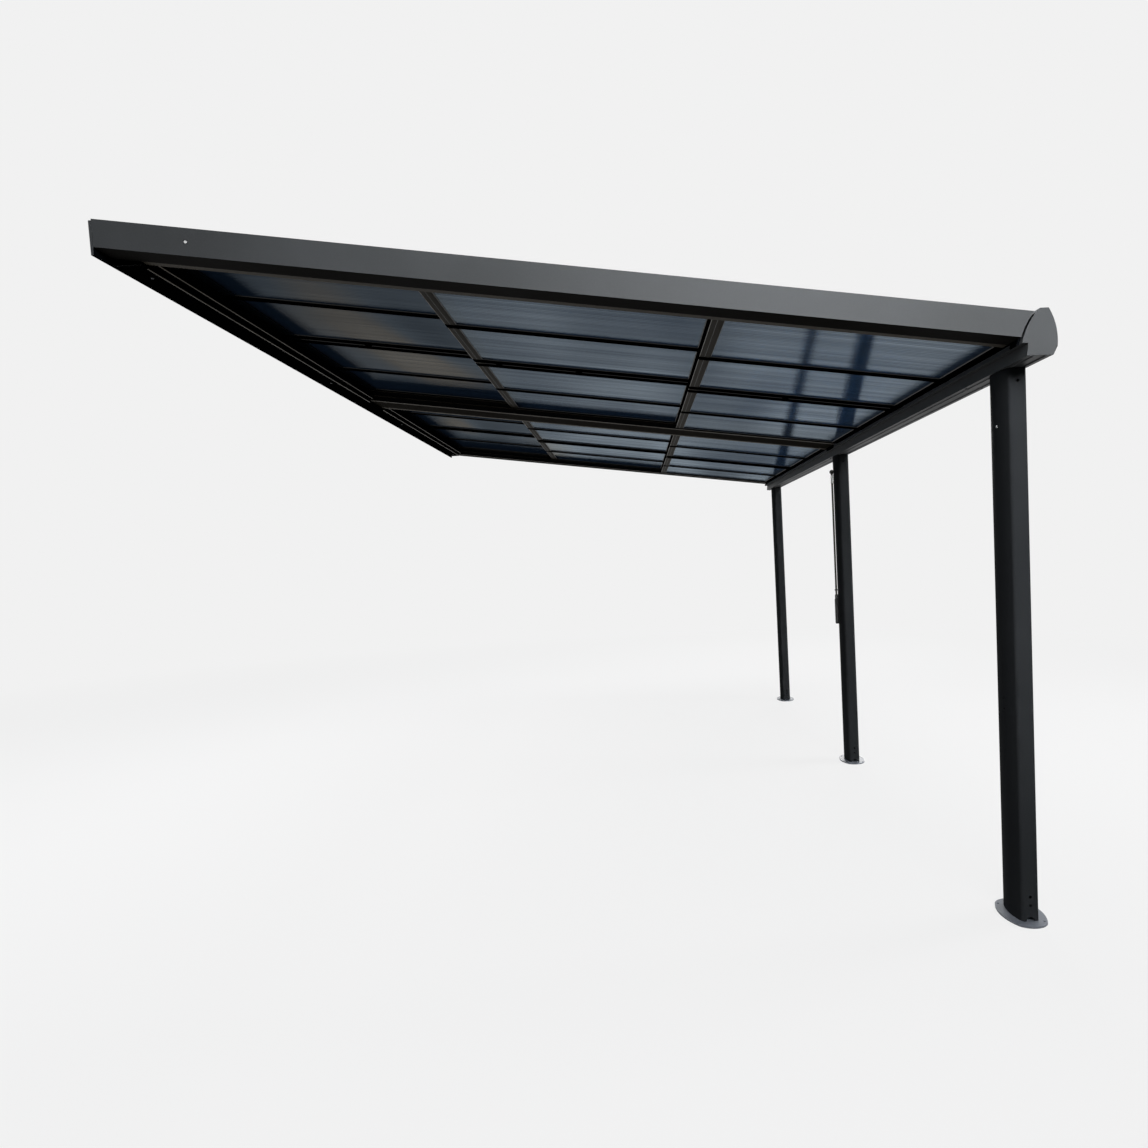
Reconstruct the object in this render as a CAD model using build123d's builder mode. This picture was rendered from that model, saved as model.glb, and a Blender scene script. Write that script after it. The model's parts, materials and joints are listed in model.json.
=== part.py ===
from build123d import *
import math
import os

# Retractable roof pergola, fixed to a wall on one side and standing on a row of posts on the other.
# Millimetres. +X from the wall to the gutter, +Y along the wall, +Z up.
# Origin: middle of the back face of the wall beam. The ground is below it, at -wall_beam_above_ground.

# overall
frame_length = 6020.0
wall_beam_above_ground = 2900.0
gutter_above_ground = 2298.0
gutter_from_wall = 3466.0

# wall beam and the closing angle below its front, one in each bay
wall_beam_depth = 116.0
wall_beam_height = 126.0
wall_beam_wall = 3.0
wall_beam_back_strip = 10.6
closing_reach = 31.0
closing_height = 23.0
closing_thickness = 3.0
closing_side_gap = 1.0

# rafters, hollow, each with a track that has one shelf for each of the three panel levels
rafter_top_above_beam = 7.0
rafter_top_below_gutter_top = 6.5
rafter_width = 117.0
rafter_height = 101.0
rafter_wall = 3.0
track_wall = 3.0
track_head = 8.0
shelf_reach = 38.0
first_shelf_drop = 26.0
shelf_step = 36.0
outer_rafter_start = 11.0
plug_hole_from_wall = 349.0
plug_hole_size = 14.0

# gaps: between fixed pieces, under what slides, and beside and above what moves
joint_gap = 0.2
seat_gap = 0.3
moving_gap = 5.0

# roof panels: a frame with cross bars under a multiwall sheet
panel_height = 23.0
runner_height = 5.0
runner_length = 90.0
runner_width = 20.0
runner_inset = 120.0
runner_side_inset = 4.0
side_stile = 30.0
upper_rail = 50.0
lower_rail = 45.0
bar_width = 46.0
twin_bar_width = 50.0
twin_bar_gap = 40.0
tie_length = 34.0
tie_thickness = 5.0
tie_overlap = 1.0
sheet_above_shelf = 9.0
sheet_thickness = 8.0
sheet_edge_cover = 14.0
fixed_panel_length = 1093.0
fixed_panel_lap = 70.0
lower_panel_length = 1182.0
sliding_panel_lap = 35.0
lower_panel_into_gutter = 3.5
fixed_tie_places = (425.0,)
middle_tie_places = (130.0, 575.0)
lower_tie_places = (545.0,)

# gutter, a bullet-shaped hollow profile that is open towards the roof
gutter_bottom_width = 102.0
gutter_wall = 3.0
gutter_height = 176.0
gutter_chamfer_rise = 31.0
gutter_chamfer_reach = 16.0
gutter_top_inset = 31.0
gutter_top_width = 33.0
gutter_outer_bulge = 12.0
gutter_inner_bulge = 13.0
gutter_ledge_height = 48.0
gutter_ledge_reach = 17.0
gutter_ledge_root = 6.0
gutter_throat_sill = 66.0
gutter_throat_head = 158.0
gutter_outlet_size = 46.0
gutter_cap_thickness = 4.0
saddle_thickness = 8.0
saddle_inset = 28.0
saddle_top_trim = 18.0

# posts and their plates
post_length_y = 182.0
post_end_width = 68.0
post_mid_width = 98.0
post_corner_radius = 14.0
post_wall = 3.0
post_from_end = 283.0
post_outward = 3.0
base_plate_thickness = 8.0
base_plate_length = 290.0
base_plate_width = 176.0
base_corner_x = 62.0
base_corner_y = 112.0
base_corner_radius = 22.0
base_hole_spacing_x = 108.0
base_hole_spacing_y = 197.0
base_hole_size = 12.0
drain_outlet_size = 34.0
end_hole_size = 12.0
low_end_hole_heights = (75.0, 112.0)
top_end_hole_drop = 52.0
side_hole_size = 9.0
side_hole_heights = (896.0, 943.0)
top_side_hole_drop = 220.0

# crank drive on the middle post
crank_eye_drop = 117.0
crank_eye_size = 32.0
crank_eye_hole = 14.0
crank_eye_thickness = 8.0
crank_boss_size = 22.0
crank_stand_off = 12.0
crank_pin_size = 8.0
crank_cheek_thickness = 3.0
crank_cheek_width = 12.0
crank_rod_size = 14.0
crank_rod_length = 925.0
crank_grip_size = 28.0
crank_grip_length = 190.0
crank_grip_chamfer = 4.0
crank_clip_above_grip = 60.0
crank_clip_thickness = 10.0
crank_clip_wall = 4.0

# derived places
half_length = frame_length / 2
ground = -wall_beam_above_ground
beam_top = wall_beam_height / 2
roof_top = beam_top + rafter_top_above_beam
gutter_z = ground + gutter_above_ground
gutter_top = gutter_z + gutter_height
gutter_right = gutter_from_wall + gutter_bottom_width + gutter_chamfer_reach
slope_angle = math.atan2(roof_top - gutter_top + rafter_top_below_gutter_top, gutter_from_wall)
slope_sin = math.sin(slope_angle)
slope_cos = math.cos(slope_angle)
post_x = gutter_from_wall + gutter_bottom_width / 2 + post_outward
post_y = half_length - post_from_end
first_shelf = -first_shelf_drop
second_shelf = first_shelf - shelf_step
third_shelf = second_shelf - shelf_step
middle_edge = joint_gap / 2
bay_inner = middle_edge + rafter_width
bay_outer = half_length - rafter_width
beam_box_half = bay_outer - joint_gap
bay_centre = (bay_inner + bay_outer) / 2
panel_width = bay_outer - bay_inner - 2 * (track_wall + moving_gap)
cut_margin = frame_length / 20

# places along the slope where the panels start and end
fixed_start = (wall_beam_depth + joint_gap + first_shelf_drop * slope_sin) / slope_cos
fixed_end = fixed_start + fixed_panel_length
middle_start = fixed_end - fixed_panel_lap
lower_end = (gutter_from_wall + lower_panel_into_gutter - third_shelf * slope_sin) / slope_cos
lower_start = lower_end - lower_panel_length
middle_end = lower_start + sliding_panel_lap

# planes that lie in the roof and across a rafter
roof = Plane(origin=(0, 0, roof_top), x_dir=(slope_cos, 0, -slope_sin), z_dir=(slope_sin, 0, slope_cos))
across = Plane(origin=(0, 0, roof_top), x_dir=(0, 1, 0), z_dir=(slope_cos, 0, -slope_sin))
# side view: local x is X, local y is Z, and an extrusion goes towards -Y
side = Plane.XZ

os.makedirs("parts", exist_ok=True)


def finish(piece, name):
    """Label a finished piece, write its file and report it."""
    piece.part.label = name
    export_step(piece.part, "parts/" + name + ".step")
    print(name, "volume", round(piece.part.volume), "solids", len(piece.part.solids()))


def gutter_points():
    """Corners of the gutter's outline in the side view, from the foot of the inner face round to its ledge."""
    foot = (gutter_from_wall, gutter_z)
    outer_foot = (gutter_from_wall + gutter_bottom_width, gutter_z)
    shoulder = (gutter_right, gutter_z + gutter_chamfer_rise)
    top_right = (gutter_right - gutter_top_inset, gutter_top)
    top_left = (top_right[0] - gutter_top_width, gutter_top)
    ledge_tip = (gutter_from_wall - gutter_ledge_reach, gutter_z + gutter_ledge_height)
    ledge_root = (gutter_from_wall + gutter_ledge_root, gutter_z + gutter_ledge_height)
    return foot, outer_foot, shoulder, top_right, top_left, ledge_tip, ledge_root


def middle_of(a, b, bulge):
    """Point half way between a and b, moved by bulge along X."""
    return ((a[0] + b[0]) / 2 + bulge, (a[1] + b[1]) / 2)


def moved(point, shift):
    """The same point moved along X."""
    return (point[0] + shift, point[1])


def gutter_outline():
    """Closed line of the gutter's section, drawn in the active line builder."""
    foot, outer_foot, shoulder, top_right, top_left, ledge_tip, ledge_root = gutter_points()
    Line(foot, outer_foot)
    Line(outer_foot, shoulder)
    ThreePointArc(shoulder, middle_of(shoulder, top_right, gutter_outer_bulge), top_right)
    Line(top_right, top_left)
    ThreePointArc(top_left, middle_of(top_left, ledge_tip, -gutter_inner_bulge), ledge_tip)
    Line(ledge_tip, ledge_root)
    Line(ledge_root, foot)


def inner_curve(shift):
    """The gutter's inner curve, moved along X, from its top to the ledge."""
    _, _, _, _, top_left, ledge_tip, _ = gutter_points()
    middle = middle_of(top_left, ledge_tip, shift - gutter_inner_bulge)
    ThreePointArc(moved(top_left, shift), middle, moved(ledge_tip, shift))


def cut_lower_end():
    """Trim the active piece along the gutter's inner curve, behind the saddle."""
    _, _, _, _, top_left, ledge_tip, _ = gutter_points()
    shift = -(saddle_thickness + 2 * joint_gap)
    low = moved(ledge_tip, shift)
    high = moved(top_left, shift)
    far = gutter_right + cut_margin
    with BuildSketch(side.offset(-half_length - cut_margin)) as behind:
        with BuildLine():
            inner_curve(shift)
            Polyline(
                low,
                (low[0], low[1] - cut_margin),
                (far, low[1] - cut_margin),
                (far, high[1] + cut_margin),
                (high[0], high[1] + cut_margin),
                high,
            )
        make_face()
    extrude(behind.sketch, amount=frame_length + 2 * cut_margin, mode=Mode.SUBTRACT)


def cut_upper_end(low_y, high_y, end_x):
    """Trim the active piece upright at end_x, between low_y and high_y."""
    with BuildSketch(Plane.XY.offset(ground)) as upper:
        with Locations(((end_x - cut_margin) / 2, (low_y + high_y) / 2)):
            Rectangle(end_x + cut_margin, high_y - low_y)
    extrude(upper.sketch, amount=-2 * ground, mode=Mode.SUBTRACT)


# wall beam: hollow box between the outer rafters, with a back strip as long as the frame
with BuildPart() as wall_beam:
    with BuildSketch(side.offset(-beam_box_half)):
        with Locations((wall_beam_depth / 2, 0)):
            Rectangle(wall_beam_depth, wall_beam_height)
            Rectangle(
                wall_beam_depth - 2 * wall_beam_wall,
                wall_beam_height - 2 * wall_beam_wall,
                mode=Mode.SUBTRACT,
            )
    extrude(amount=2 * beam_box_half)
    with BuildSketch(side.offset(-half_length)):
        with Locations((wall_beam_back_strip / 2, 0)):
            Rectangle(wall_beam_back_strip, wall_beam_height)
    extrude(amount=frame_length)
finish(wall_beam, "wall_beam")


def closing_angle(name, middle_y):
    """Angle on the lower front of the wall beam, under the upper end of a bay's panels."""
    length = bay_outer - bay_inner - 2 * (shelf_reach + closing_side_gap)
    front = wall_beam_depth
    top = closing_height - beam_top
    with BuildPart() as piece:
        with BuildSketch(side.offset(-(middle_y + length / 2))):
            with BuildLine():
                Polyline(
                    (front, -beam_top),
                    (front + closing_thickness, -beam_top),
                    (front + closing_thickness, top - closing_thickness),
                    (front + closing_reach, top - closing_thickness),
                    (front + closing_reach, top),
                    (front, top),
                    close=True,
                )
            make_face()
        extrude(amount=length)
    finish(piece, name)


closing_angle("closing_angle_near", -bay_centre)
closing_angle("closing_angle_far", bay_centre)


def rafter(name, outer_y, inward, is_outer):
    """Hollow rafter from outer_y to outer_y + inward * rafter_width; an outer one runs past the wall beam's end."""
    box_centre = outer_y + inward * rafter_width / 2
    inner_y = outer_y + inward * rafter_width
    start_x = outer_rafter_start if is_outer else wall_beam_depth + joint_gap
    with BuildPart() as piece:
        with BuildSketch(across):
            with Locations((box_centre, -rafter_height / 2)):
                Rectangle(rafter_width, rafter_height)
                Rectangle(rafter_width - 2 * rafter_wall, rafter_height - 2 * rafter_wall, mode=Mode.SUBTRACT)
        extrude(amount=(gutter_right + cut_margin) / slope_cos)
        cut_upper_end(box_centre - rafter_width, box_centre + rafter_width, start_x)
        cut_lower_end()
        if is_outer:
            # a small round hole for a plug, through the outer side only
            hole_z = roof_top - (plug_hole_from_wall * slope_sin + rafter_height / 2) / slope_cos
            with BuildSketch(side.offset(-(outer_y + inward * 2 * rafter_wall))):
                with Locations((plug_hole_from_wall, hole_z)):
                    Circle(plug_hole_size / 2)
            extrude(amount=inward * 2 * rafter_wall, mode=Mode.SUBTRACT)
    finish(piece, name)


def track(name, side_y, inward):
    """Comb-shaped track on the side of a rafter: an upright wall and three shelves for the panels to run on."""
    with BuildPart() as piece:
        with BuildSketch(across):
            with BuildLine():
                wall_y = side_y + inward * track_wall
                tip_y = side_y + inward * shelf_reach
                points = [(side_y, -track_head), (wall_y, -track_head)]
                for level in (first_shelf, second_shelf, third_shelf):
                    points.append((wall_y, level))
                    points.append((tip_y, level))
                    points.append((tip_y, level - track_wall))
                    points.append((wall_y, level - track_wall))
                points.pop()
                points.append((side_y, third_shelf - track_wall))
                Polyline(*points, close=True)
            make_face()
        extrude(amount=(gutter_right + cut_margin) / slope_cos)
        past_y = side_y + inward * cut_margin
        cut_upper_end(min(side_y, past_y), max(side_y, past_y), wall_beam_depth + joint_gap)
        cut_lower_end()
    finish(piece, name)


near_inner_y = -bay_outer
rafter("rafter_near", -half_length, 1, True)
rafter("rafter_middle_a", -middle_edge, -1, False)
rafter("rafter_middle_b", middle_edge, 1, False)
rafter("rafter_far", half_length, -1, True)
track("track_near", near_inner_y, 1)
track("track_middle_a", -bay_inner, -1)
track("track_middle_b", bay_inner, 1)
track("track_far", -near_inner_y, -1)


# gutter: bullet-shaped, open towards the roof, with an outlet into each post
with BuildPart() as gutter:
    inside_length = frame_length - 2 * (gutter_cap_thickness + joint_gap)
    with BuildSketch(side.offset(-inside_length / 2)):
        with BuildLine():
            gutter_outline()
        make_face()
        offset(amount=-gutter_wall, kind=Kind.INTERSECTION, mode=Mode.SUBTRACT)
        throat_height = gutter_throat_head - gutter_throat_sill
        throat_low = gutter_from_wall - gutter_bottom_width
        throat_high = gutter_right - gutter_top_inset - gutter_top_width + 3 * gutter_wall
        with Locations(((throat_low + throat_high) / 2, gutter_z + gutter_throat_sill + throat_height / 2)):
            Rectangle(throat_high - throat_low, throat_height, mode=Mode.SUBTRACT)
    extrude(amount=inside_length)
    with BuildSketch(Plane.XY.offset(gutter_z)):
        with Locations((post_x, -post_y), (post_x, 0), (post_x, post_y)):
            Circle(gutter_outlet_size / 2)
    extrude(amount=2 * gutter_wall, mode=Mode.SUBTRACT)
finish(gutter, "gutter")


def gutter_cap(name, inner_y):
    """Plate with the gutter's full outline, from inner_y towards -Y."""
    with BuildPart() as piece:
        with BuildSketch(side.offset(-inner_y)):
            with BuildLine():
                gutter_outline()
            make_face()
        extrude(amount=gutter_cap_thickness)
    finish(piece, name)


gutter_cap("gutter_cap_near", -half_length + gutter_cap_thickness)
gutter_cap("gutter_cap_far", half_length)


def saddle(name, low_y, high_y):
    """Curved plate between the rafter ends and the gutter."""
    _, _, _, _, top_left, ledge_tip, _ = gutter_points()
    near = -joint_gap
    far = -joint_gap - saddle_thickness
    with BuildPart() as piece:
        with BuildSketch(side.offset(-high_y)):
            with BuildLine():
                inner_curve(near)
                Line(moved(ledge_tip, near), moved(ledge_tip, far))
                inner_curve(far)
                Line(moved(top_left, far), moved(top_left, near))
            make_face()
            with Locations((gutter_from_wall, gutter_top)):
                Rectangle(4 * gutter_bottom_width, 2 * saddle_top_trim, mode=Mode.SUBTRACT)
        extrude(amount=high_y - low_y)
    finish(piece, name)


saddle("rafter_saddle_near", -half_length + saddle_inset, near_inner_y - saddle_inset)
saddle("rafter_saddle_middle", saddle_inset - bay_inner, bay_inner - saddle_inset)
saddle("rafter_saddle_far", saddle_inset - near_inner_y, half_length - saddle_inset)


def bar_places():
    """Distance from the middle of a bay to each bar, and its width: one, two close together, one."""
    half_twin = twin_bar_gap / 2 + twin_bar_width
    clear = panel_width / 2 - side_stile
    pane = (clear - half_twin - bar_width) / 2
    single = half_twin + pane + bar_width / 2
    twin = (twin_bar_gap + twin_bar_width) / 2
    return ((-single, bar_width), (-twin, twin_bar_width), (twin, twin_bar_width), (single, bar_width))


def panel_frame(name, start, end, shelf, bay, ties, runner_gap):
    """Frame of one roof panel: rim with a groove for the sheet, cross bars below the sheet, runners and ties."""
    length = end - start
    middle = (start + end) / 2
    pane_middle = (start + upper_rail + end - lower_rail) / 2
    pane_length = length - upper_rail - lower_rail
    pane_width = panel_width - 2 * side_stile
    bar_height = sheet_above_shelf - seat_gap
    with BuildPart() as piece:
        with BuildSketch(roof.offset(shelf + runner_height)):
            with Locations((middle, bay)):
                Rectangle(length, panel_width)
            with Locations((pane_middle, bay)):
                Rectangle(pane_length, pane_width, mode=Mode.SUBTRACT)
        extrude(amount=panel_height)
        with BuildSketch(roof.offset(shelf + bar_height)):
            with Locations((pane_middle, bay)):
                Rectangle(pane_length + 2 * sheet_edge_cover, pane_width + 2 * sheet_edge_cover)
        extrude(amount=sheet_thickness + 2 * seat_gap, mode=Mode.SUBTRACT)
        with BuildSketch(roof.offset(shelf)):
            for place, width in bar_places():
                with Locations((middle, bay + place)):
                    Rectangle(length, width)
        extrude(amount=bar_height)
        with BuildSketch(roof.offset(shelf + bar_height - tie_thickness)):
            for tie in ties:
                with Locations((start + tie, bay)):
                    Rectangle(tie_length, twin_bar_gap + 2 * tie_overlap)
        extrude(amount=tie_thickness)
        with BuildSketch(roof.offset(shelf + runner_gap)):
            for place in (start + runner_inset, end - runner_inset):
                for edge in (-1, 1):
                    across_bay = panel_width / 2 - runner_side_inset - runner_width / 2
                    with Locations((place, bay + edge * across_bay)):
                        Rectangle(runner_length, runner_width)
        extrude(amount=runner_height - runner_gap)
    finish(piece, name)


def panel_sheet(name, start, end, shelf, bay):
    """Multiwall sheet that lies in the groove of its frame."""
    cover = sheet_edge_cover - seat_gap
    with BuildPart() as piece:
        with BuildSketch(roof.offset(shelf + sheet_above_shelf)):
            with Locations(((start + upper_rail + end - lower_rail) / 2, bay)):
                Rectangle(end - start - upper_rail - lower_rail + 2 * cover, panel_width - 2 * (side_stile - cover))
        extrude(amount=sheet_thickness)
    finish(piece, name)


for bay_name, bay in (("near", -bay_centre), ("far", bay_centre)):
    for row, start, end, shelf, ties, gap in (
        ("fixed", fixed_start, fixed_end, first_shelf, fixed_tie_places, 0.0),
        ("middle", middle_start, middle_end, second_shelf, middle_tie_places, seat_gap),
        ("lower", lower_start, lower_end, third_shelf, lower_tie_places, seat_gap),
    ):
        panel_frame(bay_name + "_" + row + "_frame", start, end, shelf, bay, ties, gap)
        panel_sheet(bay_name + "_" + row + "_sheet", start, end, shelf, bay)


def post_outline(end_width, mid_width, length_y):
    """Barrel section of a post: flat ends and bulging sides."""
    x = end_width / 2
    y = length_y / 2
    Line((-x, -y), (x, -y))
    ThreePointArc((x, -y), (mid_width / 2, 0), (x, y))
    Line((x, y), (-x, y))
    ThreePointArc((-x, y), (-mid_width / 2, 0), (-x, -y))


def post(name, y):
    """Hollow post with its drain outlet and holes."""
    foot = ground + base_plate_thickness
    both_walls = 2 * post_wall
    with BuildPart() as piece:
        with BuildSketch(Plane.XY.offset(foot)):
            with BuildLine():
                post_outline(post_end_width, post_mid_width, post_length_y)
            make_face()
            fillet(vertices(), radius=post_corner_radius)
            with BuildSketch(mode=Mode.SUBTRACT):
                with BuildLine():
                    post_outline(post_end_width - both_walls, post_mid_width - both_walls, post_length_y - both_walls)
                make_face()
                chamfer(vertices(), length=post_corner_radius / 2)
        extrude(amount=gutter_z - foot)
        # holes in the end face: a half-round outlet at the foot, two small ones above it and one near the top
        with BuildSketch(side):
            with Locations((0, foot)):
                Circle(drain_outlet_size / 2)
            for height in low_end_hole_heights:
                with Locations((0, ground + height)):
                    Circle(end_hole_size / 2)
            with Locations((0, gutter_z - top_end_hole_drop)):
                Circle(end_hole_size / 2)
        extrude(amount=post_length_y, mode=Mode.SUBTRACT)
        # holes in the side that faces the wall
        with BuildSketch(Plane.YZ.offset(-post_mid_width)):
            for height in side_hole_heights:
                with Locations((0, ground + height)):
                    Circle(side_hole_size / 2)
            with Locations((0, gutter_z - top_side_hole_drop)):
                Circle(side_hole_size / 2)
        extrude(amount=post_mid_width, mode=Mode.SUBTRACT)
    piece.part = piece.part.moved(Location((post_x, y, 0)))
    finish(piece, name)


def base_plate(name, y):
    """Leaf-shaped plate with four bolt holes."""
    end_x = base_plate_width / 2
    end_y = base_plate_length / 2
    corner = (base_corner_x, base_corner_y)
    with BuildPart() as piece:
        with BuildSketch(Plane.XY.offset(ground)):
            with BuildLine():
                ThreePointArc((corner[0], -corner[1]), (end_x, 0), corner)
                ThreePointArc(corner, (0, end_y), (-corner[0], corner[1]))
                ThreePointArc((-corner[0], corner[1]), (-end_x, 0), (-corner[0], -corner[1]))
                ThreePointArc((-corner[0], -corner[1]), (0, -end_y), (corner[0], -corner[1]))
            make_face()
            fillet(vertices(), radius=base_corner_radius)
            with GridLocations(base_hole_spacing_x, base_hole_spacing_y, 2, 2):
                Circle(base_hole_size / 2, mode=Mode.SUBTRACT)
        extrude(amount=base_plate_thickness)
    piece.part = piece.part.moved(Location((post_x, y, 0)))
    finish(piece, name)


for place_name, place in (("near", -post_y), ("middle", 0.0), ("far", post_y)):
    post("post_" + place_name, place)
    base_plate("base_plate_" + place_name, place)


# crank drive: a ring on a boss of the middle post, the forked rod that hangs from it, its grip and its clip
crank_face = post_x - post_mid_width / 2
crank_reach = crank_stand_off + crank_rod_size / 2
crank_x = crank_face - crank_reach
eye_z = gutter_z - crank_eye_drop
cheek_top = eye_z + crank_pin_size
rod_top = eye_z - crank_eye_size / 2 - crank_cheek_thickness
rod_bottom = rod_top - crank_rod_length
clip_z = rod_bottom + crank_clip_above_grip

with BuildPart() as crank_eye:
    with BuildSketch(side.offset(crank_eye_thickness / 2 * -1)):
        with Locations((crank_x, eye_z)):
            Circle(crank_eye_size / 2)
        with Locations((crank_face - crank_stand_off / 2, eye_z)):
            Rectangle(crank_stand_off, crank_boss_size)
        with Locations((crank_x, eye_z)):
            Circle(crank_eye_hole / 2, mode=Mode.SUBTRACT)
    extrude(amount=crank_eye_thickness)
finish(crank_eye, "crank_eye")

with BuildPart() as crank_rod:
    fork_inside = crank_eye_thickness / 2 + 2 * joint_gap
    fork_outside = fork_inside + crank_cheek_thickness
    with BuildSketch(Plane.YZ.offset(crank_x - crank_cheek_width / 2)):
        with Locations((0, (cheek_top + rod_top) / 2)):
            Rectangle(2 * fork_outside, cheek_top - rod_top)
        with Locations((0, (cheek_top + rod_top + crank_cheek_thickness) / 2)):
            Rectangle(2 * fork_inside, cheek_top - rod_top - crank_cheek_thickness, mode=Mode.SUBTRACT)
    extrude(amount=crank_cheek_width)
    with BuildSketch(side.offset(-fork_outside)):
        with Locations((crank_x, eye_z)):
            Circle(crank_pin_size / 2)
    extrude(amount=2 * fork_outside)
    with BuildSketch(Plane.XY.offset(rod_bottom)):
        with Locations((crank_x, 0)):
            Circle(crank_rod_size / 2)
    extrude(amount=crank_rod_length)
finish(crank_rod, "crank_rod")

with BuildPart() as crank_grip:
    with BuildSketch(Plane.XY.offset(rod_bottom - crank_grip_length)):
        with Locations((crank_x, 0)):
            Circle(crank_grip_size / 2)
    extrude(amount=crank_grip_length)
    chamfer(crank_grip.edges().filter_by(GeomType.CIRCLE), length=crank_grip_chamfer)
finish(crank_grip, "crank_grip")

with BuildPart() as crank_clip:
    clip_inside = crank_rod_size / 2 + joint_gap
    clip_neck = crank_reach - clip_inside
    with BuildSketch(Plane.XY.offset(clip_z)):
        with Locations((crank_x, 0)):
            Circle(clip_inside + crank_clip_wall)
            Circle(clip_inside, mode=Mode.SUBTRACT)
        with Locations((crank_face - clip_neck / 2, 0)):
            Rectangle(clip_neck, crank_rod_size)
    extrude(amount=crank_clip_thickness)
finish(crank_clip, "crank_clip")
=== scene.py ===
import bmesh
import bpy
import json
import math
import numpy as np
from mathutils import Matrix, Vector

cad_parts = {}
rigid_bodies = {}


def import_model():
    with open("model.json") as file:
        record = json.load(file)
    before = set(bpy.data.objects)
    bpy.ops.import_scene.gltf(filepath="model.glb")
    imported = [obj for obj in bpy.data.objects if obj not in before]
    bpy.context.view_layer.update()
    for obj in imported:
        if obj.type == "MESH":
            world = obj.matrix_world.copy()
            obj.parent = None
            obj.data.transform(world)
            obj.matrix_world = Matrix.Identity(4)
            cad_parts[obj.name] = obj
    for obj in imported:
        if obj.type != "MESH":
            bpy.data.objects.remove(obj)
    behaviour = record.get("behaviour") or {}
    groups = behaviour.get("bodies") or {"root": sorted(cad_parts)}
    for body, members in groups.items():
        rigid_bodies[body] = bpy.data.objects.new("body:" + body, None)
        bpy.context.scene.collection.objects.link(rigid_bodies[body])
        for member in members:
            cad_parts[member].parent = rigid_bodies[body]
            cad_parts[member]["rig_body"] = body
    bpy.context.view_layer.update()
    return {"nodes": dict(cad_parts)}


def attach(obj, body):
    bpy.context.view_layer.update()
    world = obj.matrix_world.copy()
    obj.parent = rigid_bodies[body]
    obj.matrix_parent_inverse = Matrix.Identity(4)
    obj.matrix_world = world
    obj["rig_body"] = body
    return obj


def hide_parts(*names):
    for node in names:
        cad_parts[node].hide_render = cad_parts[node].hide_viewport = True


# Looks of a retractable roof pergola: powder-coated frame, smoky multiwall roof panels, crank drive.
# Metres, in the frame of the CAD part: +X from the wall to the gutter, +Y along the wall, +Z up.

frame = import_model()

# sizes repeated from the CAD part: wall beam, rafters and gutter
half_length = 3.010
ground = -2.900
wall_beam_foot = -0.063
roof_top = 0.070
gutter_z = -0.602
gutter_top = -0.426
gutter_from_wall = 3.466
rafter_top_below_gutter_top = 0.0065
slope = math.atan2(roof_top - gutter_top + rafter_top_below_gutter_top, gutter_from_wall)
rafter_width = 0.117
rafter_height = 0.101
plug_hole_from_wall = 0.349

# posts and crank
post_x = 3.520
post_from_end = 0.283
post_y = half_length - post_from_end
post_length_y = 0.182
post_mid_width = 0.098
post_side = post_x - post_mid_width / 2
side_hole_drop = 0.220
rod_from_post = 0.019
rod_x = post_side - rod_from_post
ring_drop = 0.117
ring_to_rod = 0.019
rod_length = 0.925
rod_top = gutter_z - ring_drop - ring_to_rod
rod_bottom = rod_top - rod_length

# bays and panels
bay_inner = 0.1171
bay_outer = half_length - rafter_width
bay_centre = (bay_inner + bay_outer) / 2
bays = {"near": -bay_centre, "far": bay_centre}
beside_panel = 0.008
panel_width = bay_outer - bay_inner - 2 * beside_panel
side_stile = 0.030
clear_half = panel_width / 2 - side_stile
upper_rail = 0.050
lower_rail = 0.045
runner_height = 0.005
sheet_above_shelf = 0.009
# each row of panels: its start and end down the slope, and the height of its shelf square to the roof
rows = {
    "fixed": (0.1212, 1.2142, -0.026),
    "middle": (1.1442, 2.3732, -0.062),
    "lower": (2.3382, 3.5202, -0.098),
}
# cross bars: distance from the middle of a bay, and width
bars = ((-0.709975, 0.046), (-0.045, 0.050), (0.045, 0.050), (0.709975, 0.046))

# directions
roof_up = np.array((math.sin(slope), 0.0, math.cos(slope)))
down_slope = np.array((math.cos(slope), 0.0, -math.sin(slope)))
upwards = (0, 0, 1)
downwards = (0, 0, -1)
to_wall = (-1, 0, 0)
from_wall = (1, 0, 0)


def linear(colour):
    """Linear colour of an sRGB hex value: a channel up to 0.04045 is divided by 12.92, the others follow the
    power."""
    values = [int(colour[i:i + 2], 16) / 255 for i in (1, 3, 5)]
    return [v / 12.92 if v <= 0.04045 else ((v + 0.055) / 1.055) ** 2.4 for v in values] + [1.0]


def add(tree, kind, values=None):
    """Add one node: another node's output is linked in, a hex colour is made linear, and any other value
    goes into the socket or the property of that name."""
    made = tree.nodes.new(kind)
    for key, value in (values or {}).items():
        if isinstance(value, bpy.types.NodeSocket):
            tree.links.new(value, made.inputs[key])
            continue
        if isinstance(value, str) and value.startswith("#"):
            value = linear(value)
        if isinstance(key, int) or key in made.inputs:
            made.inputs[key].default_value = value
        else:
            setattr(made, key, value)
    return made


def noise(tree, place, scale, detail, roughness=0.5):
    """Noise between 0 and 1, with about scale swells in a metre."""
    values = {"Vector": place, "Scale": scale, "Detail": detail, "Roughness": roughness}
    return add(tree, "ShaderNodeTexNoise", values).outputs["Fac"]


def stretched(tree, place, scale, shift=(0.0, 0.0, 0.0)):
    """Place whose axes are multiplied by scale and moved by shift, so that a pattern there is drawn out."""
    return add(tree, "ShaderNodeMapping", {"Vector": place, "Scale": scale, "Location": shift}).outputs[0]


def ranged(tree, value, low, high, to_low=0.0, to_high=1.0):
    """Value carried from the range low to high into the range to_low to to_high, and held at its ends."""
    return add(tree, "ShaderNodeMapRange", {0: value, 1: low, 2: high, 3: to_low, 4: to_high}).outputs[0]


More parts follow.
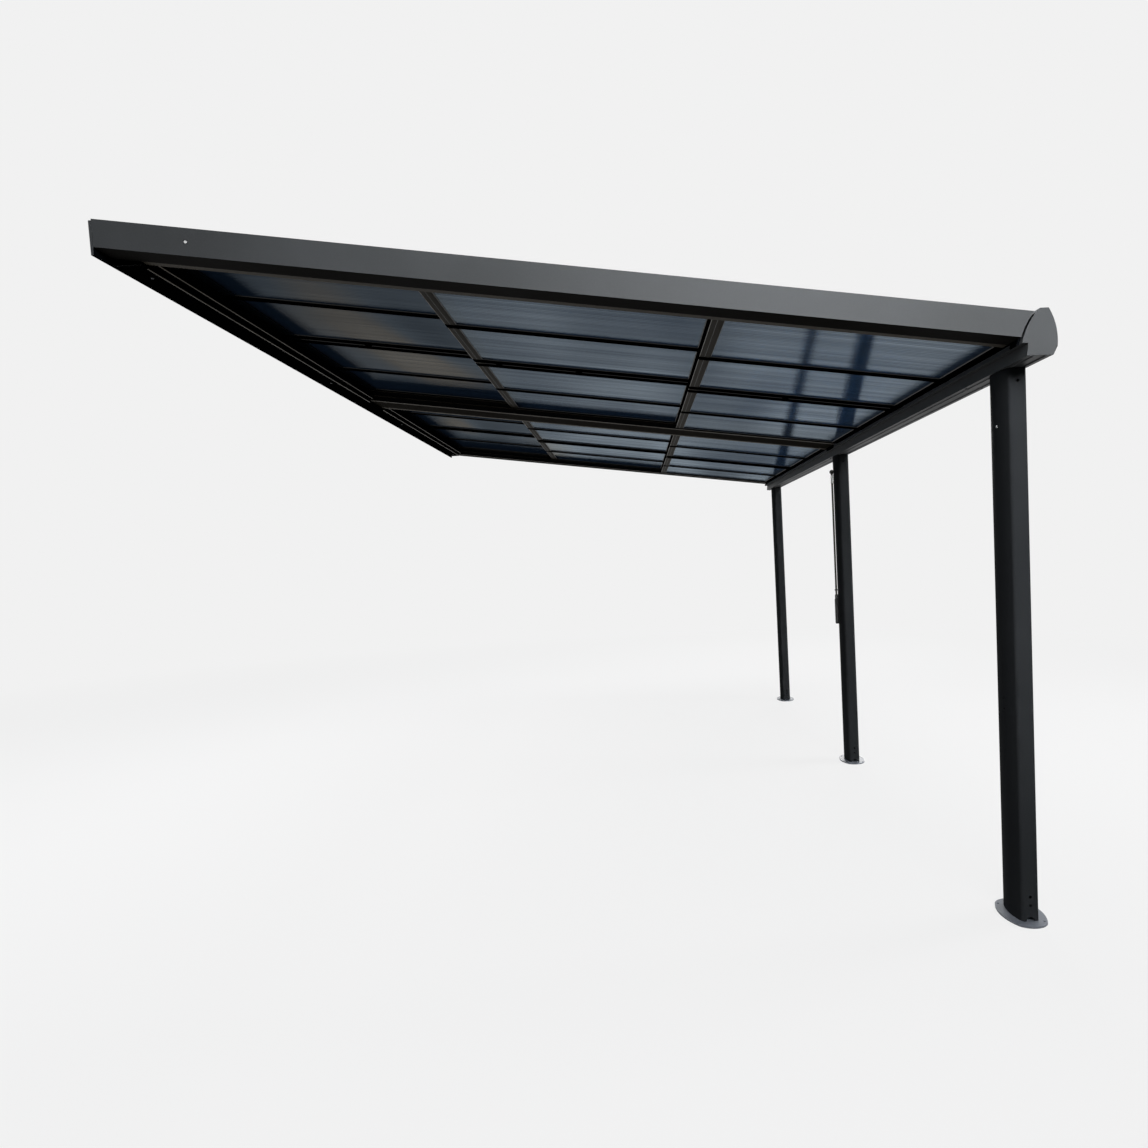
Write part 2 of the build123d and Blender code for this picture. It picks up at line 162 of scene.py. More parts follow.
def worked_out(tree, operation, first, second=0.5, clamp=False):
    """Result of a calculation with one or two values."""
    values = {"operation": operation, "use_clamp": clamp, 0: first, 1: second}
    return add(tree, "ShaderNodeMath", values).outputs[0]


def blend(tree, share, low, high):
    """Colour that goes from low to high as share goes from 0 to 1."""
    return add(tree, "ShaderNodeMix", {"data_type": "RGBA", 0: share, 6: low, 7: high}).outputs[2]


def ramp(tree, value, steps):
    """Colour at value on a ramp of steps, each of them a position and a grey level or a hex colour."""
    made = add(tree, "ShaderNodeValToRGB", {0: value})
    elements = made.color_ramp.elements
    while len(elements) < len(steps):
        elements.new(0.5)
    for element, (position, colour) in zip(elements, steps):
        element.position = position
        element.color = linear(colour) if isinstance(colour, str) else (colour, colour, colour, 1.0)
    return made.outputs[0]


def bumped(tree, height, strength, distance):
    """Normal of a skin that rises by distance where height is 1; strength is the share of it that shows."""
    values = {"Height": height, "Strength": strength, "Distance": distance}
    return add(tree, "ShaderNodeBump", values).outputs["Normal"]


def mixed(tree, share, first, second):
    """Shader that goes from first to second as share goes from 0 to 1."""
    return add(tree, "ShaderNodeMixShader", {0: share, 1: first, 2: second}).outputs[0]


def satin(tree, colour, roughness, normal, specular, metallic=0.0):
    """Skin of one colour, roughness and normal."""
    values = {"Base Color": colour, "Roughness": roughness, "Normal": normal}
    values.update({"Specular IOR Level": specular, "Metallic": metallic})
    return add(tree, "ShaderNodeBsdfPrincipled", values).outputs[0]


def new_material(name):
    """Empty material with its node tree, and the place of a point on its object."""
    material = bpy.data.materials.new(name)
    material.use_nodes = True
    tree = material.node_tree
    tree.nodes.clear()
    return material, tree, add(tree, "ShaderNodeTexCoord").outputs["Object"]


def closed(material, shader):
    """Material whose surface is that shader."""
    add(material.node_tree, "ShaderNodeOutputMaterial", {"Surface": shader})
    return material


def powder_coat(name, colour, fleck, roughness, specular):
    """Powder-coated aluminium, sprayed and baked: a satin skin with a fine orange-peel grain, tiny paler
    flecks and slow changes of tone over the length of a profile. The real grain is about 0.8 mm and is
    drawn coarser, so that it shows from a few metres."""
    material, tree, place = new_material(name)
    drawn_grain = 0.0022
    peel = noise(tree, place, 1 / drawn_grain, 2.0)
    cloud = noise(tree, place, 1.7, 3.0, 0.55)
    tone = ranged(tree, cloud, 0.35, 0.7, 0.0, 0.55)
    grit = ranged(tree, peel, 0.45, 0.75, 0.0, 0.5)
    paint = blend(tree, worked_out(tree, "ADD", tone, grit), colour, fleck)
    sheen = ranged(tree, cloud, 0.3, 0.7, roughness - 0.05, roughness + 0.07)
    normal = bumped(tree, peel, 0.5, 0.00012)
    return closed(material, satin(tree, paint, sheen, normal, specular))


def drawn_metal(name, colour, streak, roughness, stretch, spacing, metallic=1.0, specular=0.5):
    """Drawn or extruded metal: fine streaks along the drawing direction, where the metal is a little darker
    and rougher. The pattern's places are multiplied by stretch along X, Y and Z; spacing is that of the
    streaks."""
    material, tree, place = new_material(name)
    lines = noise(tree, stretched(tree, place, stretch), 1 / spacing, 4.0, 0.6)
    tint = blend(tree, ranged(tree, lines, 0.35, 0.65), colour, streak)
    gloss = ranged(tree, lines, 0.3, 0.7, roughness - 0.06, roughness + 0.08)
    normal = bumped(tree, lines, 0.3, 0.0001)
    return closed(material, satin(tree, tint, gloss, normal, specular, metallic))


def track_metal(name, web_painted_shade, colour, streak):
    """Extruded track: the shelves, square to the roof, are bronze-brown metal with streaks down the slope,
    and the web faces, along the roof, are near black, painted shade. Which is which follows the way a face
    looks: square to the roof or along it."""
    material, tree, place = new_material(name)
    lines = noise(tree, stretched(tree, place, (0.02, 1.0, 1.0)), 250.0, 4.0)
    shelf_metal = blend(tree, ranged(tree, lines, 0.35, 0.65), colour, streak)
    facing = add(tree, "ShaderNodeNewGeometry").outputs["Normal"]
    square = add(tree, "ShaderNodeVectorMath", {"operation": "DOT_PRODUCT", 0: facing, 1: tuple(roof_up)})
    flat = worked_out(tree, "ABSOLUTE", square.outputs["Value"])
    # faces along the roof, the web, take the near-black colour: painted shade
    tint = blend(tree, ranged(tree, flat, 0.5, 0.9), web_painted_shade, shelf_metal)
    values = {"Base Color": tint, "Roughness": 0.6, "Specular IOR Level": 0.05}
    return closed(material, add(tree, "ShaderNodeBsdfPrincipled", values).outputs[0])


def soft_plastic(name, colour, bloom, roughness, grain):
    """Moulded plastic or rubber: a fine spark-eroded grain and a faint grey bloom where hands and weather
    wear it."""
    material, tree, place = new_material(name)
    spark = noise(tree, place, 1 / grain, 3.0)
    wear = noise(tree, place, 22.0, 3.0)
    tint = blend(tree, ranged(tree, wear, 0.45, 0.8, 0.0, 0.7), colour, bloom)
    gloss = ranged(tree, wear, 0.3, 0.7, roughness - 0.06, roughness + 0.06)
    return closed(material, satin(tree, tint, gloss, bumped(tree, spark, 0.4, 0.0001), 0.35))


def multiwall_sheet(name, painted_through_light=None):
    """Smoke-tinted multiwall polycarbonate, extruded with its walls along the slope: what is behind it
    shows as dark blue, its glossy skin mirrors what is below, and the inner walls show as fine lines. The
    real walls are 11 mm apart; they are drawn at 22 mm, and with slower streaks, so that they show. Nearer
    the wall the building's shade is painted on: the skin mirrors less and the tint is deeper, in three
    steps of the roof. A strip of it that lies on a rail shows the colour it is given, painted light that
    would come through the sheet, instead of what is behind."""
    material, tree, place = new_material(name)
    drawn_walls = 0.022
    roof_reach = 3.6
    axes = add(tree, "ShaderNodeSeparateXYZ", {"Vector": place})
    turns = worked_out(tree, "MULTIPLY", axes.outputs["Y"], 2 * math.pi / drawn_walls)
    wave = worked_out(tree, "SINE", turns)
    streaks = noise(tree, stretched(tree, place, (0.12, 16.0, 1.0)), 1.6, 3.0, 0.65)
    patches = noise(tree, stretched(tree, place, (0.9, 0.28, 1.0), (0.3, 0.15, 0.0)), 1.5, 1.0)
    # how much the skin mirrors and the colour that it lets through, by the distance from the wall: painted
    # shade of the building, less mirror and deeper tint nearer the wall
    reach = worked_out(tree, "DIVIDE", axes.outputs["X"], roof_reach)
    levels = ((0.03, 0.18), (0.31, 0.27), (0.325, 0.48), (0.62, 0.58), (0.66, 0.54), (0.97, 0.50))
    shades = ((0.03, "#2b323a"), (0.31, "#2f3943"), (0.325, "#414d59"), (0.97, "#4b5a69"))
    mirror = ramp(tree, reach, levels)
    tint = ramp(tree, reach, shades)
    lines = ranged(tree, wave, -1.0, 1.0, 0.78, 1.16)
    uneven = ranged(tree, streaks, 0.25, 0.75, 0.62, 1.42)
    patchy = ranged(tree, patches, 0.3, 0.7, 0.52, 1.50)
    varied = worked_out(tree, "MULTIPLY", worked_out(tree, "MULTIPLY", lines, uneven), patchy)
    edge_on = add(tree, "ShaderNodeFresnel", {"IOR": 1.58}).outputs[0]
    share = worked_out(tree, "MULTIPLY", edge_on, worked_out(tree, "MULTIPLY", mirror, varied), clamp=True)
    if painted_through_light is None:
        through = add(tree, "ShaderNodeBsdfTransparent", {"Color": tint}).outputs[0]
    else:
        through = add(tree, "ShaderNodeBsdfDiffuse", {"Color": painted_through_light}).outputs[0]
    # painted warm light of the ground, in patches on the sheets near the wall
    warm = ranged(tree, patches, 0.50, 0.62)
    upper = ranged(tree, reach, 0.30, 0.40, 1.0, 0.0)
    cast = blend(tree, worked_out(tree, "MULTIPLY", warm, upper), "#cfdfeb", "#e6dfd0")
    ribs = bumped(tree, wave, 0.25, 0.0004)
    skin = add(tree, "ShaderNodeBsdfGlossy", {"Color": cast, "Roughness": 0.09, "Normal": ribs}).outputs[0]
    # the walls inside scatter a little of the light that falls on either side
    haze = "#8aa3c0"
    back = add(tree, "ShaderNodeBsdfTranslucent", {"Color": haze}).outputs[0]
    front = add(tree, "ShaderNodeBsdfDiffuse", {"Color": haze}).outputs[0]
    scatter = mixed(tree, 0.5, back, front)
    return closed(material, mixed(tree, 0.10, mixed(tree, share, through, skin), scatter))


bar_stretch = (1.0, 0.02, 1.0)
rod_stretch = (1.0, 1.0, 0.03)
coat = powder_coat("powder_coated_aluminium_anthracite", "#484a4b", "#57595b", 0.46, 0.08)
# darker copy of the frame's coat for the posts, with almost no gloss: painted shade
posts_painted_shade = powder_coat("powder_coat_posts_painted_shade", "#2e3032", "#393b3d", 0.50, 0.002)
# near-black copies of the coat for faces under the roof and in the dark between wall and roof: painted shade
undersides_painted_shade = powder_coat("powder_coat_undersides_painted_shade", "#11100f", "#191816", 0.75, 0.009)
middle_rafter_painted_shade = powder_coat("powder_coat_middle_rafters_painted_shade", "#15130f", "#1d1a15", 0.75, 0.003)
wall_dark_painted_shade = powder_coat("powder_coat_wall_dark_painted_shade", "#0b0d10", "#121418", 0.70, 0.0)
panel_coat = powder_coat("powder_coated_panel_profiles", "#050505", "#0b0b0b", 0.70, 0.0)
plate_coat = powder_coat("powder_coated_steel_plate", "#70757d", "#838890", 0.40, 0.40)
rail_metal = track_metal("extruded_track_aluminium", "#080808", "#3a362f", "#4a453c")
cover_metal = drawn_metal("rail_cover_bronze_dip", "#211f1b", "#302d26", 0.65, bar_stretch, 0.004, 0.0, 0.03)
highlight_edge_bronze = drawn_metal("bronze_edge_painted_highlight", "#3e3930", "#2b2720", 0.40, bar_stretch, 0.003)
dull_steel = drawn_metal("zinc_screw_dulled", "#4c4d4e", "#35373a", 0.50, (1.0, 1.0, 0.06), 0.003)
crank_metal = drawn_metal("bronzed_crank_tube", "#4a4842", "#2b2a26", 0.45, rod_stretch, 0.004, 0.0, 0.15)
rubber = soft_plastic("epdm_rubber_seal", "#141414", "#24241f", 0.60, 0.0012)
nylon = soft_plastic("moulded_nylon_black", "#0e0e0f", "#1d1d1e", 0.45, 0.0010)
pale_plastic = soft_plastic("moulded_plug_pale", "#f8f8f5", "#e6e6e0", 0.40, 0.0010)
sheet = multiwall_sheet("smoked_multiwall_polycarbonate")
strip_sheet = multiwall_sheet("smoked_multiwall_painted_light_on_a_rail", "#222c38")

# the closing angles and rafter saddles take the near-black copy of the coat, and the posts the darker one:
# painted shade
finishes = {
    "wall_beam": coat,
    "closing_angle": wall_dark_painted_shade,
    "rafter_saddle": wall_dark_painted_shade,
    "rafter": coat,
    "track": rail_metal,
    "gutter": coat,
    "post": posts_painted_shade,
    "base_plate": plate_coat,
    "crank_rod": crank_metal,
    "crank": nylon,
}


def finish_of(name):
    """Material of a CAD node, from the end or the start of its name."""
    if name.endswith("_sheet"):
        return sheet
    if name.endswith("_frame"):
        return panel_coat
    return next(material for start, material in finishes.items() if name.startswith(start))


for node_name, node in frame["nodes"].items():
    node.data.materials.clear()
    node.data.materials.append(finish_of(node_name))


def rounded(name, width, segments=2, painted_shade_finish=None, looks=None):
    """Copy of a CAD node with its corners merged and its edges rounded by width, which stands for the node.
    With a painted-shade finish, a darker copy of the coat, the faces that look the way of looks, to within 45
    degrees, take it."""
    merge_distance = 0.00002
    flat_angle = math.radians(0.4)
    edge_angle = math.radians(32)
    cosine_45 = 0.7
    source = frame["nodes"][name]
    mesh = source.data.copy()
    mesh.name = name + "_rounded"
    body = bmesh.new()
    body.from_mesh(mesh)
    bmesh.ops.remove_doubles(body, verts=body.verts, dist=merge_distance)
    bmesh.ops.dissolve_limit(body, angle_limit=flat_angle, verts=body.verts, edges=body.edges)
    body.to_mesh(mesh)
    body.free()
    if "custom_normal" in mesh.attributes:
        mesh.attributes.remove(mesh.attributes["custom_normal"])
    mesh.shade_smooth()
    mesh.set_sharp_from_angle(angle=edge_angle)
    if painted_shade_finish is not None:
        mesh.materials.append(painted_shade_finish)
        facing = np.zeros(len(mesh.polygons) * 3, np.float32)
        mesh.polygons.foreach_get("normal", facing)
        chosen = facing.reshape(-1, 3) @ np.array(looks) > cosine_45
        mesh.polygons.foreach_set("material_index", chosen.astype(np.int32))
    piece = bpy.data.objects.new(name + "_rounded", mesh)
    bpy.context.scene.collection.objects.link(piece)
    edge = piece.modifiers.new("edge", "BEVEL")
    edge.width = width
    edge.segments = segments
    edge.limit_method = "ANGLE"
    edge.angle_limit = edge_angle
    edge.harden_normals = True
    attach(piece, source["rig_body"])
    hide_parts(name)


rafter_edge = 0.0016
frame_edge = 0.0012
panel_edge = 0.0008
# the rafters' faces that look down from the roof take near-black copies of the coat: painted shade
for name in ("rafter_near", "rafter_far"):
    rounded(name, rafter_edge, 2, undersides_painted_shade, -roof_up)
for name in ("rafter_middle_a", "rafter_middle_b"):
    rounded(name, rafter_edge, 2, middle_rafter_painted_shade, -roof_up)
# painted shade: the beam's front and underside, which lie in the dark between wall and roof, take a
# near-black copy of the coat
front_and_down = (0.707107, 0.0, -0.707107)
rounded("wall_beam", frame_edge, 2, wall_dark_painted_shade, front_and_down)
for name in ("gutter", "gutter_cap_near", "gutter_cap_far"):
    rounded(name, frame_edge)
for name in ("base_plate_near", "base_plate_middle", "base_plate_far"):
    rounded(name, frame_edge)
for bay_name in bays:
    for row_name in rows:
        rounded(bay_name + "_" + row_name + "_frame", panel_edge, 1)


def put(name, shapes, material, body):
    """One piece from a list of shapes, each of them points and faces: its mesh lies where the points say."""
    start = 0
    points = []
    faces = []
    for shape_points, shape_faces in shapes:
        points.append(shape_points)
        faces.extend([[start + i for i in face] for face in shape_faces])
        start += len(shape_points)
    mesh = bpy.data.meshes.new(name)
    mesh.from_pydata(np.concatenate(points).tolist(), [], faces)
    mesh.update()
    mesh.shade_smooth()
    mesh.set_sharp_from_angle(angle=math.radians(35))
    mesh.materials.append(material)
    piece = bpy.data.objects.new(name, mesh)
    bpy.context.scene.collection.objects.link(piece)
    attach(piece, body)


def tube_faces(rings, count):
    """Faces of a closed tube of rings with count points each: a four-sided face between neighbours, and
    both ends."""
    i = np.arange(rings - 1)[:, None] * count
    j = np.arange(count)[None, :]
    k = (j + 1) % count
    sides = np.stack([i + j, i + k, i + count + k, i + count + j], axis=-1).reshape(-1, 4).tolist()
    low = np.arange(count)[::-1].tolist()
    high = (np.arange(count) + (rings - 1) * count).tolist()
    return sides + [low, high]


def turned(profile, sides, place, axis):
    """Turned shape: each (radius, height) of the profile becomes a ring, radius times cosine and sine of
    the turn across the axis, and height along it, from place."""
    axis = np.array(axis, float) / np.linalg.norm(axis)
    helper = np.array((0.0, 0.0, 1.0)) if abs(axis[2]) < 0.9 else np.array((1.0, 0.0, 0.0))
    u = np.cross(helper, axis)
    u /= np.linalg.norm(u)
    v = np.cross(axis, u)
    profile = np.array(profile, float)
    turn = np.arange(sides) * 2 * math.pi / sides
    circle = np.cos(turn)[:, None] * u + np.sin(turn)[:, None] * v
    points = profile[:, 0, None, None] * circle + profile[:, 1, None, None] * axis
    return points.reshape(-1, 3) + np.array(place, float), tube_faces(len(profile), sides)


def carried(section, start, end, side):
    """Straight profile: the section's points, counted along side and along the direction across it, are
    carried from start to end."""
    start = np.array(start, float)
    end = np.array(end, float)
    along = (end - start) / np.linalg.norm(end - start)
    side = np.array(side, float)
    side = side - along * (side @ along)
    side /= np.linalg.norm(side)
    up = np.cross(along, side)
    section = np.array(section, float)
    ring = section[:, 0, None] * side + section[:, 1, None] * up
    points = np.concatenate([ring + start, ring + end])
    return points, tube_faces(2, len(section))


def on_roof(distance, y, height):
    """Point at a distance down the slope, at y along the wall and at a height square to the roof plane."""
    return np.array((
        distance * math.cos(slope) + height * math.sin(slope),
        y,
        roof_top - distance * math.sin(slope) + height * math.cos(slope),
    ))


def pan_head(size, rise):
    """Profile of a pan-head screw with its drive dimple, seen from below its head: (radius, height) pairs."""
    r = size / 2
    return (
        (r * 0.98, 0.0), (r, rise * 0.25), (r * 0.93, rise * 0.6), (r * 0.75, rise * 0.88),
        (r * 0.42, rise), (r * 0.36, rise * 0.95), (r * 0.30, rise * 0.45), (r * 0.05, rise * 0.40),
    )


# screws up into the wall beam, one pair in each bay
beam_head = pan_head(0.012, 0.004)
beam_screw_x = 0.077
beam_screw_y = (-2.754, -0.802, 0.802, 2.754)
put(
    "wall_beam_screws",
    [turned(beam_head, 12, (beam_screw_x, y, wall_beam_foot), downwards) for y in beam_screw_y],
    dull_steel, "base",
)

# screws up into the gutter, beside each post
gutter_head = pan_head(0.013, 0.0045)
gutter_screw_x = (3.481, 3.552)
gutter_screw_y = (-2.403, -0.160, 0.137, 2.403)
put(
    "gutter_screws",
    [turned(gutter_head, 12, (x, y, gutter_z), downwards) for x in gutter_screw_x for y in gutter_screw_y],
    dull_steel, "base",
)

# two drip ridges along the gutter's underside, broken at each post
ridge = ((-0.003, 0.0), (-0.0022, -0.0032), (0.0, -0.0042), (0.0022, -0.0032), (0.003, 0.0))
ridge_places = (gutter_from_wall + 0.026, gutter_from_wall + 0.075)
ridge_end = half_length - 0.006
post_clear = post_length_y / 2 + 0.012
ridge_spans = (
    (-ridge_end, -post_y - post_clear),
    (-post_y + post_clear, -post_clear),
    (post_clear, post_y - post_clear),
    (post_y + post_clear, ridge_end),
)
put(
    "gutter_drip_ridges",
    [
        carried(ridge, (x, low, gutter_z), (x, high, gutter_z), to_wall)
        for x in ridge_places
        for low, high in ridge_spans
    ],
    coat, "base",
)

# pale plugs in the upper holes of the outer posts' sides that face the wall: painted highlights of light seen
# in these holes
side_plug = ((0.0043, -0.0040), (0.0052, 0.0006), (0.0049, 0.0020), (0.0034, 0.0030), (0.0003, 0.0032))
put(
    "post_side_painted_highlight_plugs",
    [turned(side_plug, 10, (post_side, y, gutter_z - side_hole_drop), to_wall) for y in (-post_y, post_y)],
    pale_plastic, "base",
)

# bushing and pale plug in the hole of each outer rafter's cover
hole_z = roof_top - (plug_hole_from_wall * math.sin(slope) + rafter_height / 2) / math.cos(slope)
bushing = (
    (0.0062, -0.006), (0.0069, -0.006), (0.0069, -0.0004), (0.0067, -0.0001), (0.0065, -0.0004),
    (0.0062, -0.0012), (0.0061, -0.0040), (0.0003, -0.0040),
)
plug = ((0.0060, -0.0039), (0.0060, -0.0012), (0.0055, -0.0004), (0.0030, -0.0002), (0.0003, -0.0001))
for name, profile, sides, material in (
    ("cover_bushings", bushing, 20, rubber),
    ("cover_plugs", plug, 16, pale_plastic),
):
    put(
        name,
        [
            turned(profile, sides, (plug_hole_from_wall, way * half_length, hole_z), (0, way, 0))
            for way in (-1, 1)
        ],
        material, "base",
    )


def between_bars(margin=0.0):
    """Spans between the cross bars of a panel, as pairs of distances from the middle of its bay. Each span
    ends short of a bar by the margin."""
    stops = [-clear_half]
    for place, width in bars:
        stops += [place - width / 2 - margin, place + width / 2 + margin]
    stops.append(clear_half)
    return list(zip(stops[::2], stops[1::2]))


def pane_edges(centre, start, end, shelf, has_upper_edge):
    """Lines round the five panes of a panel: both ends, each as distance, y and height on the roof, on the
    sheet's underside, and the direction to the pane."""
    top = start + upper_rail
    low = end - lower_rail
    height = shelf + sheet_above_shelf
    for a, b in between_bars():
        yield (top, centre + a, height), (low, centre + a, height), (0, 1, 0)
        yield (top, centre + b, height), (low, centre + b, height), (0, -1, 0)
        if has_upper_edge:
            yield (top, centre + a, height), (top, centre + b, height), down_slope
        yield (low, centre + a, height), (low, centre + b, height), -down_slope


def seal(start, end, inwards):
    """Rubber bead along one edge of a pane: a quarter-round of 4 mm under the sheet, towards the pane."""
    a = on_roof(*start)
    b = on_roof(*end)
    along = (b - a) / np.linalg.norm(b - a)
    inwards = np.array(inwards, float)
    turn = 1.0 if np.cross(along, inwards) @ roof_up < 0 else -1.0
    r = 0.004
    arc = [(r * math.cos(t), turn * r * math.sin(t)) for t in np.linspace(0, math.pi / 2, 5)]
    section = np.array([(0.0, 0.0)] + arc)
    if turn < 0:
        section = section[::-1]
    return carried(section, a, b, inwards)


def body_of(bay_name, row_name):
    """Name of the body that a row of panels rides on."""
    return "base" if row_name == "fixed" else bay_name + "_" + row_name + "_panel"


for bay_name, centre in bays.items():
    for row_name, (start, end, shelf) in rows.items():
        put(
            bay_name + "_" + row_name + "_seals",
            [seal(*edge) for edge in pane_edges(centre, start, end, shelf, row_name != "fixed")],
            rubber, body_of(bay_name, row_name),
        )

# half-round strips of paler bronze under the wall beam's front corner and under the tip of the closing
# angles: painted highlights on these edges
edge_radius = 0.0026
half_round = [(edge_radius * math.cos(t), edge_radius * math.sin(t)) for t in np.linspace(0, math.pi, 7)]
beam_corner = (0.1163, wall_beam_foot)
closing_angle_tip = (0.1443, -0.043)
put(
    "wall_beam_painted_highlight_edges",
    [
        carried(half_round, (x, centre - clear_half, z), (x, centre + clear_half, z), from_wall)
        for x, z in (beam_corner, closing_angle_tip)
        for centre in bays.values()
    ],
    highlight_edge_bronze, "base",
)

# lip of rubber under a panel's lower rail, down to 1.2 mm above the next panel
lip_section = ((-0.0052, 0.0), (-0.0020, 0.0), (-0.0029, 0.0118), (-0.0043, 0.0118))
for bay_name, centre in bays.items():
    for row_name in ("fixed", "middle"):
        _, end, shelf = rows[row_name]
        low, high = (on_roof(end, centre + y, shelf + runner_height) for y in (-clear_half, clear_half))
        put(
            bay_name + "_" + row_name + "_lip",
            [carried(lip_section, low, high, down_slope)],
            rubber, body_of(bay_name, row_name),
        )

# trim on the underside of each upper rail: distance down the slope and depth below the rail
cover_section = (
    (0.0015, 0.0), (0.0480, 0.0), (0.0480, 0.0012), (0.0460, 0.0020), (0.0260, 0.0020), (0.0250, 0.0008),
    (0.0225, 0.0008), (0.0215, 0.0022), (0.0050, 0.0022), (0.0035, 0.0010), (0.0015, 0.0010),
)
# inlay of dark rubber in the cover's groove, which paints the groove's shade, and the bright bead on the
# rail's leading edge, a painted highlight
inlay_section = ((0.0226, 0.0006), (0.0249, 0.0006), (0.0249, 0.0014), (0.0226, 0.0014))
bead_section = ((-0.0016, 0.0), (0.0012, 0.0), (0.0012, 0.0014), (-0.0002, 0.0022), (-0.0016, 0.0014))
# strip of sheet under the upper rail of a fixed panel, up to the wall beam; its navy colour is painted light
# that would come through the sheet
strip_section = ((-0.0015, 0.0), (0.0502, 0.0), (0.0502, 0.0030), (-0.0015, 0.0030))
fixed_trims = (("_upper_strips", strip_section, strip_sheet, "glazing"),)
sliding_trims = (
    ("_rail_cover", cover_section, cover_metal, "panel_frame"),
    ("_rail_inlay", inlay_section, rubber, "panel_frame"),
    ("_rail_bead", bead_section, highlight_edge_bronze, "panel_frame"),
)
bar_margin = 0.0006
for bay_name, centre in bays.items():
    for row_name, (start, _, shelf) in rows.items():
        ends = [
            [on_roof(start, centre + y, shelf + runner_height) for y in span]
            for span in between_bars(bar_margin)
        ]
        for title, section, material, slot in fixed_trims if row_name == "fixed" else sliding_trims:
            put(
                bay_name + "_" + row_name + title,
                [carried(section, low, high, down_slope) for low, high in ends],
                material, body_of(bay_name, row_name),
            )

# crank: the pale joint sleeve below the ring, and the collar and ribs of the grip
sleeve = (
    (0.0072, 0.0), (0.0092, 0.001), (0.0096, 0.004), (0.0092, 0.010), (0.0092, 0.050), (0.0084, 0.060),
    (0.0072, 0.062),
)
collar = ((0.0072, 0.0), (0.0112, 0.0), (0.0112, 0.024), (0.0098, 0.030), (0.0072, 0.031))
rib = ((0.0138, -0.0030), (0.0147, -0.0018), (0.0149, 0.0), (0.0147, 0.0018), (0.0138, 0.0030))
sleeve_foot = rod_top - 0.066
first_rib = rod_bottom - 0.018
rib_spacing = 0.011
rib_heights = [first_rib - rib_spacing * i for i in range(15)]
for name, profile, heights, material in (
    ("crank_sleeve", sleeve, [sleeve_foot], pale_plastic),
    ("crank_collar", collar, [rod_bottom], nylon),
    ("crank_grip_ribs", rib, rib_heights, nylon),
):
    put(
        name,
        [turned(profile, 20, (rod_x, 0, height), upwards) for height in heights],
        material, "base",
    )

# camera at the photograph's viewing place; its yaw, pitch and roll are given in degrees
camera_data = bpy.data.cameras.new("photograph_view")
camera = bpy.data.objects.new("photograph_view", camera_data)
bpy.context.scene.collection.objects.link(camera)
yaw, pitch, roll = (math.radians(v) for v in (-0.662, -3.706, -3.095))
forward = Vector((-math.sin(yaw) * math.cos(pitch), math.cos(yaw) * math.cos(pitch), math.sin(pitch)))
level_right = forward.cross(Vector(upwards)).normalized()
level_up = level_right.cross(forward)
right = level_right * math.cos(roll) + level_up * math.sin(roll)
upright = level_up * math.cos(roll) - level_right * math.sin(roll)
turned_view = Matrix((right, upright, -forward)).transposed().to_4x4()
camera.matrix_world = Matrix.Translation((1.934, -6.144, -1.290)) @ turned_view
camera_data.sensor_width = 36.0
camera_data.lens = 25.71
camera_data.shift_x = -0.0617
camera_data.shift_y = 0.0333
camera_data.clip_end = 200.0
bpy.context.scene.camera = camera

pale = "#f1f1f1"


def seen_share(tree):
    """One for sight, gloss and clear rays, and zero for soft bounce light."""
    path = add(tree, "ShaderNodeLightPath")
    sharp = worked_out(tree, "MAXIMUM", path.outputs["Is Camera Ray"], path.outputs["Is Glossy Ray"])
    return worked_out(tree, "MAXIMUM", sharp, path.outputs["Is Transmission Ray"])


def studio_floor():
    """Plain pale floor: sight, gloss and clear rays get its even pale tone with part of the object's shadow,
    and soft bounce light gets a darker one, as from a patio."""
    material, tree, place = new_material("studio_floor")
    distance = add(tree, "ShaderNodeVectorMath", {"operation": "LENGTH", 0: place}).outputs["Value"]
    # part of the tone that is even: near the object some of it is lit, so that its shadow shows
    reach = ranged(tree, distance, 4.0, 12.0)
    even = ranged(tree, reach, 0.0, 1.0, 0.88, 1.0)
    lit = add(tree, "ShaderNodeBsdfDiffuse", {"Color": pale}).outputs[0]
    glow = add(tree, "ShaderNodeEmission", {"Color": blend(tree, reach, "#f5f5f5", pale), "Strength": 1.0})
    bounce = add(tree, "ShaderNodeBsdfDiffuse", {"Color": "#3c3a37"}).outputs[0]
    shown = mixed(tree, even, lit, glow.outputs[0])
    return closed(material, mixed(tree, seen_share(tree), bounce, shown))


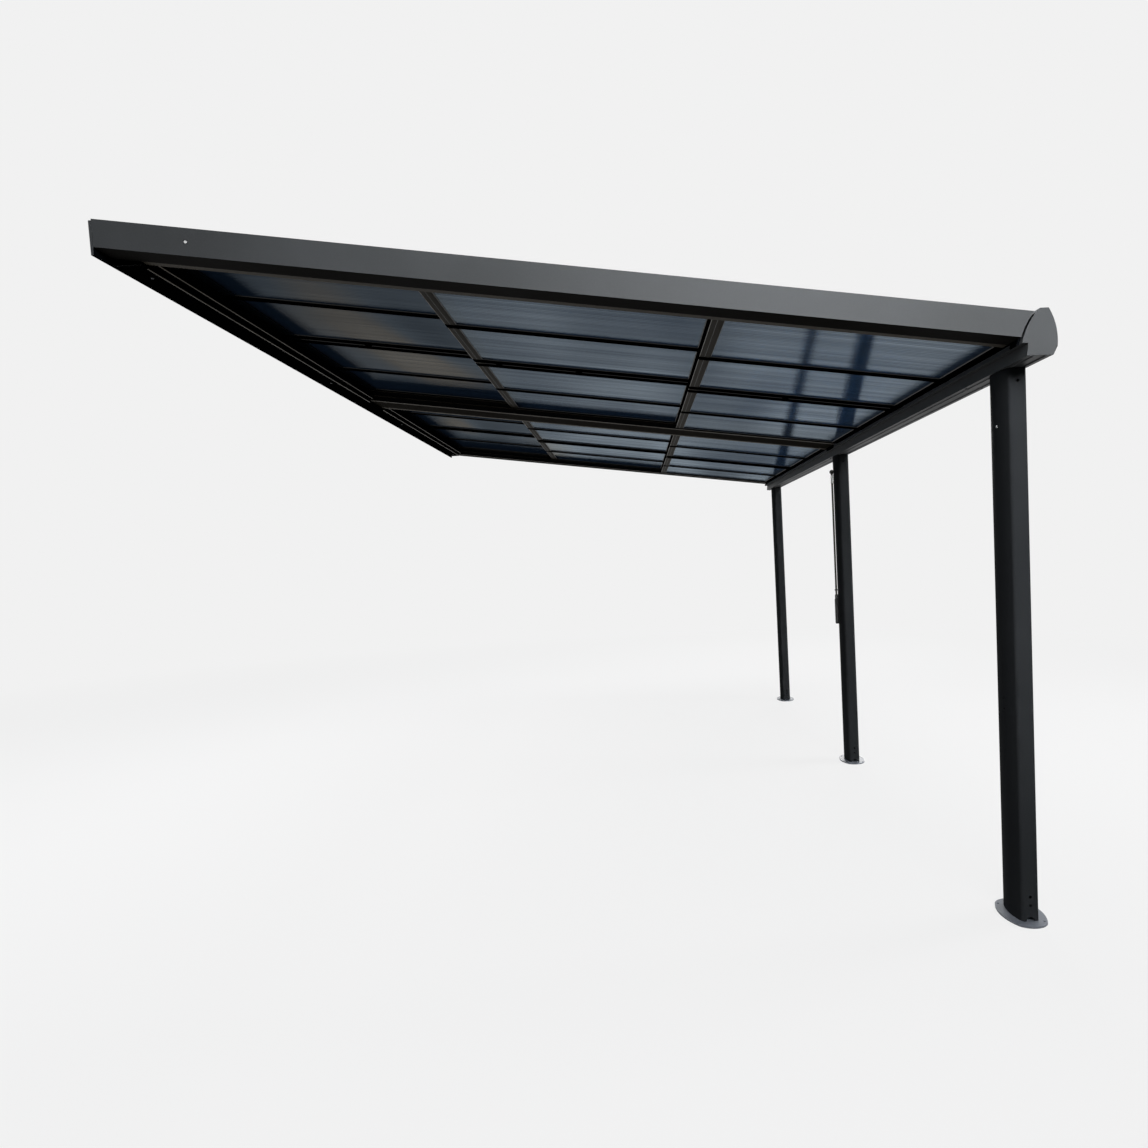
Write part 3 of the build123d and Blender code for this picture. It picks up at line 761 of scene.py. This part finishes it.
floor_half = 60.0
floor_corners = [(floor_half * x, floor_half * y, ground) for x, y in ((-1, -1), (1, -1), (1, 1), (-1, 1))]
floor_mesh = bpy.data.meshes.new("studio_floor")
floor_mesh.from_pydata(floor_corners, [], [(0, 1, 2, 3)])
floor_mesh.materials.append(studio_floor())
floor = bpy.data.objects.new("studio_floor", floor_mesh)
bpy.context.scene.collection.objects.link(floor)

world = bpy.data.worlds.new("studio")
world.use_nodes = True
world_tree = world.node_tree
world_tree.nodes.clear()
soft_light = add(world_tree, "ShaderNodeBackground", {"Color": "#dfe6ee", "Strength": 0.15}).outputs[0]
backdrop = add(world_tree, "ShaderNodeBackground", {"Color": pale, "Strength": 1.0}).outputs[0]
light = mixed(world_tree, seen_share(world_tree), soft_light, backdrop)
add(world_tree, "ShaderNodeOutputWorld", {"Surface": light})
bpy.context.scene.world = world


def soft_lamp(name, place, aim, width, power, colour, spread=180):
    """Square soft lamp at place that shines towards aim; spread is the angle that its grid lets through."""
    data = bpy.data.lights.new(name, "AREA")
    data.shape = "SQUARE"
    data.size = width
    data.energy = power
    data.color = linear(colour)[:3]
    data.spread = math.radians(spread)
    lamp = bpy.data.objects.new(name, data)
    bpy.context.scene.collection.objects.link(lamp)
    lamp.location = place
    lamp.rotation_euler = (Vector(aim) - Vector(place)).to_track_quat("-Z", "Y").to_euler()


soft_lamp("key_lamp", (2.9, -6.3, 1.0), (2.2, -3.0, -0.2), 1.6, 68.0, "#fbfcff", 120)
soft_lamp("front_lamp", (5.4, -13.5, 2.2), (3.7, -0.6, -0.5), 2.5, 42.0, "#ffffff", 36)
soft_lamp("top_lamp", (1.8, 0.0, 6.5), (1.8, 0.0, 0.0), 4.5, 330.0, "#f6f9ff")
soft_lamp("wall_lamp", (-2.6, 0.5, 4.2), (0.2, 0.0, -0.1), 3.5, 260.0, "#ffffff")
soft_lamp("garden_lamp", (10.0, -0.5, 0.8), (3.6, 0.0, -1.6), 3.0, 160.0, "#ffffff", 120)
soft_lamp("side_lamp", (-6.5, -5.0, 1.5), (0.0, -1.5, -0.5), 3.0, 55.0, "#ffffff")
soft_lamp("back_lamp", (5.5, 9.0, 1.5), (2.5, 2.5, -0.8), 3.0, 260.0, "#ffffff")

bpy.context.scene.view_settings.view_transform = "Standard"
